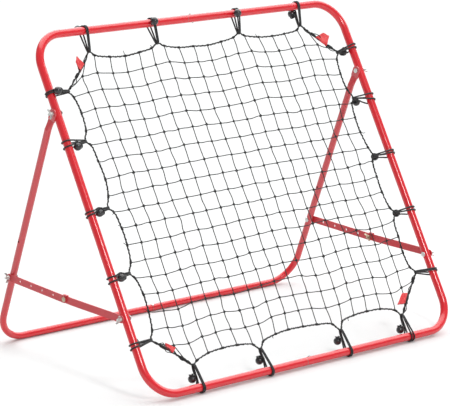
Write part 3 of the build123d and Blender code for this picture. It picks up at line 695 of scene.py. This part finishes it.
# ------------------------------------------------------------------ ball bungees
TOP_BALLS = [(-364.5, 1002.5, -18.6), (-146, 985, 26.2), (142, 981, 26.2), (369, 974.5, -17)]
RIGHT_BALLS = [(505, 840.5, -14), (489, 688.5, -17), (485, 521.5, -17), (489, 349.5, -17),
               (543, 175.5, -18.3)]
BOTTOM_BALLS = [(352, 25.5, -15), (126, 36, -17), (-150, 34, -17), (-379, 28, -15)]
LEFT_BALLS = [(-513, 151.5, -18.3), (-506.5, 318, 8), (-506, 495, 8), (-506, 677, 9), (-518, 829, 21)]
# Where each bungee crosses the tube, along it.
TOP_CROSS = [-358, -136, 158, 380]
RIGHT_CROSS = [849, 692, 523, 349, 166]
BOTTOM_CROSS = [365, 138, -140, -370]
LEFT_CROSS = [141, 319, 498, 689, 832]
# Half the distance between a bungee's two loops on the tube.
TOP_SPREAD = [2.2, 2.3, 4.0, 2.2]
RIGHT_SPREAD = [5.0, 8.5, 3.8, 4.3, 2.3]
BOTTOM_SPREAD = [4.6, 2.3, 2.4, 2.3]
LEFT_SPREAD = [5.0, 6.0, 4.0, 7.5, 2.4]
# How far along the tube its back crossing lies from the front one, and how much wider it is.
LEFT_BACK = [(-2.0, 1.5), (-1.0, 1.0), (-2.0, 1.0), (-1.0, 1.0), (-3.5, 1.2)]
TOP_BACK = [(-4.0, 3.5), (-4.0, 3.5), (-2.0, 2.0), (0.0, 2.0)]
RIGHT_BACK = [(-4.0, 1.0), (-5.0, 1.5), (-6.0, 1.5), (-5.0, 1.0), (-6.0, 2.0)]
BALL_PROFILE = [(0, 12), (3.1, 11.6), (6, 10.4), (8.5, 8.5), (10.4, 6), (11.6, 3.1), (11.95, 0.75),
                (12.0, 0.5), (11.7, 0.2), (11.7, -0.2), (12.0, -0.5), (11.95, -0.75), (11.6, -3.1),
                (10.4, -6), (8.5, -8.5), (6.6, -10.0), (5.4, -10.9), (4.6, -10.8), (4.2, -8.0), (0, -7.0)]
BALL_SCALE = BALL_R / 12.0
BOTTOM_BACK = (0.0, 1.5)
# The collar of cord round a ball's mouth: its distance from the middle, its radius and the cord's own.
COLLAR_AT, COLLAR_R, COLLAR_CORD_R = 9.2, 8.4, 1.7
STUB_R = 1.6


def ball(soup, centre, mouth):
    """A moulded ball with a parting groove and a hole for its cords."""
    mouth = unit(np.asarray(mouth, float))
    a = unit(np.cross(mouth, [0.31, 0.52, 0.79]))
    b = np.cross(mouth, a)
    around = 26
    angle = np.arange(around) * 2 * math.pi / around
    points = []
    faces = []
    lay = []
    profile = [(r * BALL_SCALE, z * BALL_SCALE) for r, z in BALL_PROFILE]
    start = np.asarray(centre)
    points.append(start - mouth * profile[0][1])
    for r, z in profile[1:-1]:
        for t in angle:
            points.append(start - mouth * z + r * (math.cos(t) * a + math.sin(t) * b))
    points.append(start - mouth * profile[-1][1])
    rings = len(profile) - 2
    for k in range(around):
        m = (k + 1) % around
        faces.append((0, 1 + m, 1 + k))
        lay.append([(0.5, 0.0)] * 3)
        for i in range(rings - 1):
            p, q = 1 + i * around, 1 + (i + 1) * around
            faces.append((p + k, p + m, q + m, q + k))
            u0 = k / around
            u1 = (k + 1) / around
            lay.append([(u0, i), (u1, i), (u1, i + 1), (u0, i + 1)])
        q = 1 + (rings - 1) * around
        faces.append((q + k, q + m, len(points) - 1))
        lay.append([(0.5, 1.0)] * 3)
    soup.add(place(points), faces, lay, 1)


def loop_line(cross, hook_along, reach, spread, pinch, centre, back):
    """One closed cord loop round the tube and the rope, in (along, out, n) millimetres."""
    big = TUBE_R + 2.0
    small = 2.6 + CORD_R
    points = []
    for t in np.linspace(math.pi / 2, 3 * math.pi / 2, 15):
        behind = back * (1 - math.sin(t)) / 2
        points.append((cross + spread + behind, big * math.cos(t), big * math.sin(t)))
    for share in np.linspace(0.05, 0.95, 22):
        out = reach * share
        start = cross + spread + back
        points.append((start + (hook_along + pinch - start) * share, out,
                       -(big + (small - big) * share)))
    for t in np.linspace(-math.pi / 2, math.pi / 2, 9):
        points.append((hook_along + pinch, reach + small * math.cos(t), small * math.sin(t)))
    for share in np.linspace(0.95, 0.05, 22):
        out = reach * share
        points.append((cross + spread + (hook_along + pinch - cross - spread) * share, out,
                       big + (small - big) * share))
    line = np.array(points)
    for _ in range(14):
        line = 0.5 * line + 0.25 * (np.roll(line, 1, 0) + np.roll(line, -1, 0))
        away = line - centre
        far = np.linalg.norm(away, axis=1, keepdims=True)
        line = np.where(far < BALL_R + CORD_R + 0.2, centre + away / far * (BALL_R + CORD_R + 0.2), line)
        off = line[:, 1:]
        far = np.linalg.norm(off, axis=1, keepdims=True)
        line[:, 1:] = np.where(far < big, off / far * big, off)
    return line


def bungee(name, axis, cross, hook, ball_at, out_sign, spread, back):
    """Two cord loops and the ball that locks them. axis is 0 for a rail and 1 for an upright."""
    rail = {(0, -1): FRAME_H, (0, 1): 0.0, (1, 1): -HALF, (1, -1): HALF}[(axis, out_sign)]

    def to_frame(line):
        line = np.atleast_2d(line)
        out = np.zeros_like(line)
        out[:, axis] = line[:, 0]
        out[:, 1 - axis] = rail + out_sign * line[:, 1]
        out[:, 2] = line[:, 2]
        return out

    reach = abs(rail - hook[1 - axis])
    centre = np.array([ball_at[axis], out_sign * (ball_at[1 - axis] - rail), ball_at[2]])
    soup = Soup()
    axis_dir = X_DIR if axis == 0 else V_DIR
    nearest = None
    for way in (-1, 1):
        line = loop_line(cross, hook[axis], reach, way * spread + rng.normal(0, 0.3), way * 1.7, centre,
                         back[0] + way * back[1])
        tube(soup, place(to_frame(line)), axis_dir, CORD_R * MM, 10, closed=True)
        gap = np.linalg.norm(line - centre, axis=1)
        if nearest is None or gap.min() < nearest[0]:
            nearest = (gap.min(), line[gap.argmin()])
    mouth = unit(nearest[1] - centre)
    if nearest[0] < BALL_R + CORD_R + 1.5:
        # The loop bears on the ball: turn the hole towards the rope instead.
        mouth = unit(np.array([hook[axis], reach, 0.0]) - centre)
    side = unit(np.cross(mouth, [1.0, 0.0, 0.001]))
    other = np.cross(mouth, side)
    # The cord end that is hooked over the ball, as a collar round its mouth.
    collar = []
    for t in np.linspace(0, 2 * math.pi, 26, endpoint=False):
        out = math.cos(t) * side + math.sin(t) * other
        collar.append(centre + mouth * (COLLAR_AT + 0.5 * math.sin(t)) + COLLAR_R * out)
    tube(soup, place(to_frame(collar)), place(to_frame([mouth]))[0] - ORIGIN * MM, COLLAR_CORD_R * MM, 8,
         closed=True)
    # Two short cord ends out of the hole.
    reach_out = min(max(nearest[0] - 2.0, 14.0), 22.0)
    for way in (-1.6, 1.6):
        stub = [centre + mouth * 6.8 + side * way, centre + mouth * 11.5 + side * way * 1.2,
                centre + mouth * reach_out + side * way * 1.5]
        stub_side = place(to_frame([side]))[0] - ORIGIN * MM
        tube(soup, place(to_frame(smooth_line(stub, 4))), stub_side, STUB_R * MM, 8)
    local = np.zeros(3)
    local[axis] = mouth[0]
    local[1 - axis] = out_sign * mouth[1]
    local[2] = mouth[2]
    ball(soup, ball_at, local)
    soup.build(name + "_cords", [BRAID, BALL], "bungee_black", name)


for i in range(4):
    bungee("bungee_top_%d" % (i + 1), 0, TOP_CROSS[i], TOP_HOOKS[i], TOP_BALLS[i], -1,
           TOP_SPREAD[i], TOP_BACK[i])
    bungee("bungee_bottom_%d" % (i + 1), 0, BOTTOM_CROSS[i], BOTTOM_HOOKS[i], BOTTOM_BALLS[i], 1,
           BOTTOM_SPREAD[i], BOTTOM_BACK)
for i in range(5):
    bungee("bungee_left_%d" % (i + 1), 1, LEFT_CROSS[i], LEFT_HOOKS[i], LEFT_BALLS[i], 1,
           LEFT_SPREAD[i], LEFT_BACK[i])
    bungee("bungee_right_%d" % (i + 1), 1, RIGHT_CROSS[i], RIGHT_HOOKS[i], RIGHT_BALLS[i], -1,
           RIGHT_SPREAD[i], RIGHT_BACK[i])


# ------------------------------------------------------------------ corner tags
# Each tag is a tape folded over the rope: two points on the rope and the two outer corners.
TAGS = {
    "top_left": ((-416, 881), (-398, 900), (-421, 908), (-410, 924)),
    "top_right": ((412, 892), (441, 865), (441, 901), (462, 890)),
    "bottom_left": ((-437, 120), (-421, 104), (-437, 132), (-407, 114)),
    "bottom_right": ((384, 91), (407, 118), (356, 92), (391, 122)),
}
TAPE_THICK = 0.0006


def tag(name, base_a, base_b, outer_a, outer_b):
    """Woven tape folded round the rope, its two halves lying together and a little wavy."""
    base_a, base_b, outer_a, outer_b = (np.array([*p, 0.0]) for p in (base_a, base_b, outer_a, outer_b))
    profile = [(1.0, 1.6), (0.8, 1.3), (0.6, 1.2), (0.4, 1.9), (0.22, 3.2), (0.08, 4.0), (-0.06, 3.4),
               (-0.14, 1.6), (-0.16, 0.0), (-0.14, -1.6), (-0.06, -3.4), (0.08, -4.0), (0.22, -3.2),
               (0.4, -1.2), (0.6, 0.2), (0.8, 0.5), (0.97, 0.7)]
    count = 13
    points = []
    for share, n in profile:
        for k in range(count):
            w = k / (count - 1)
            base = base_a + (base_b - base_a) * w
            outer = outer_a + (outer_b - outer_a) * w
            curl = 1.3 * math.sin(3.0 * w + 1.0) * max(share, 0) ** 2 + 0.8 * math.sin(7 * w) * max(share, 0)
            p = base + (outer - base) * share
            points.append((p[0], p[1], n + curl * (1.0 if n > 0 else 0.8)))
    world = place(points)
    rows = len(profile)
    faces = []
    lay = []
    for i in range(rows - 1):
        v0 = i / (rows - 1)
        v1 = (i + 1) / (rows - 1)
        for k in range(count - 1):
            first = i * count + k
            faces.append((first, first + 1, first + count + 1, first + count))
            u0 = k / (count - 1)
            u1 = (k + 1) / (count - 1)
            lay.append([(u0, v0), (u1, v0), (u1, v1), (u0, v1)])
    soup = Soup()
    soup.add(world, faces, lay)
    obj = soup.build("tag_" + name, [TAPE], "tag_red", "corner_tag_" + name)
    shell = obj.modifiers.new("thickness", "SOLIDIFY")
    shell.thickness = TAPE_THICK
    shell.offset = 0.0
    smooth = obj.modifiers.new("smooth", "SUBSURF")
    smooth.levels = 1
    smooth.render_levels = 1


for corner, outline in TAGS.items():
    tag(corner, *outline)


# ------------------------------------------------------------------ floor and light
FLOOR_SIZE = 60.0
FLOOR_TONE = 0.70
WORLD_STRENGTH = 0.41
STRIP_AIM = (0.0, -0.1, 0.25)
STRIP_AWAY = 4.2
STRIP_WIDTH, STRIP_HEIGHT = 0.66, 0.75
STRIP_POWER = 50.0
SKY_POWER = 3.75
SKY_ANGLE = math.radians(95)
SKY_FROM = (0.55, 0.38, 1.0)


def plain(name, tone, rough):
    """A smooth, pale floor with hardly any pattern."""
    m = Nodes(name)
    at = m.new("ShaderNodeTexCoord").outputs["Object"]
    first = (tone * 0.985, tone, tone)
    second = (tone * 0.97, tone * 0.985, tone * 0.985)
    colour = m.mix(m.noise(at, 3.0, 2.0), first, second)
    gloss = m.ramp(m.noise(at, 8.0, 2.0), 0.3, 0.7, rough - 0.03, rough + 0.03)
    height = m.bump(m.noise(at, 200.0, 2.0), 0.02, 0.0005)
    return m.finish(colour, gloss, height)


bpy.ops.mesh.primitive_plane_add(size=FLOOR_SIZE, location=(0.0, 0.0, 0.0))
floor = bpy.context.object
floor.name = "floor"
floor.data.materials.append(plain("floor_white", FLOOR_TONE, 0.7))

world = bpy.data.worlds.new("studio")
world.use_nodes = True
world.node_tree.nodes["Background"].inputs["Color"].default_value = (1.0, 1.0, 1.0, 1.0)
world.node_tree.nodes["Background"].inputs["Strength"].default_value = WORLD_STRENGTH
bpy.context.scene.world = world


def area_light(name, at, aim, width, height, power):
    """A rectangular light at one place, turned to another."""
    data = bpy.data.lights.new(name, "AREA")
    data.shape = "RECTANGLE"
    data.size = width
    data.size_y = height
    data.energy = power
    light = bpy.data.objects.new(name, data)
    at = Vector(at)
    facing = (Vector(aim) - at).to_track_quat("-Z", "Y").to_matrix().to_4x4()
    light.matrix_world = Matrix.Translation(at) @ facing
    bpy.context.scene.collection.objects.link(light)


# The strip light stands where the lower half of both uprights mirrors it.
axis_dir = Vector(V_DIR)
to_eye = TO_CAMERA.normalized()
flat = to_eye - to_eye.dot(axis_dir) * axis_dir
across = axis_dir.cross(flat.normalized())
if across.dot(right) < 0:
    across = -across
bounce = math.radians(32)
glance = math.cos(bounce) * flat + math.sin(bounce) * across * flat.length
glance = glance - (to_eye.dot(axis_dir) + 0.05) * axis_dir
strip_at = Vector(STRIP_AIM) + glance.normalized() * STRIP_AWAY
area_light("strip", strip_at, STRIP_AIM, STRIP_WIDTH, STRIP_HEIGHT, STRIP_POWER)
sun = bpy.data.lights.new("sky_panel", "SUN")
sun.energy = SKY_POWER
sun.angle = SKY_ANGLE
sky = bpy.data.objects.new("sky_panel", sun)
sky.matrix_world = Vector(SKY_FROM).to_track_quat("Z", "Y").to_matrix().to_4x4()
bpy.context.scene.collection.objects.link(sky)

scene = bpy.context.scene
scene.view_settings.view_transform = "Standard"
scene.view_settings.look = "None"
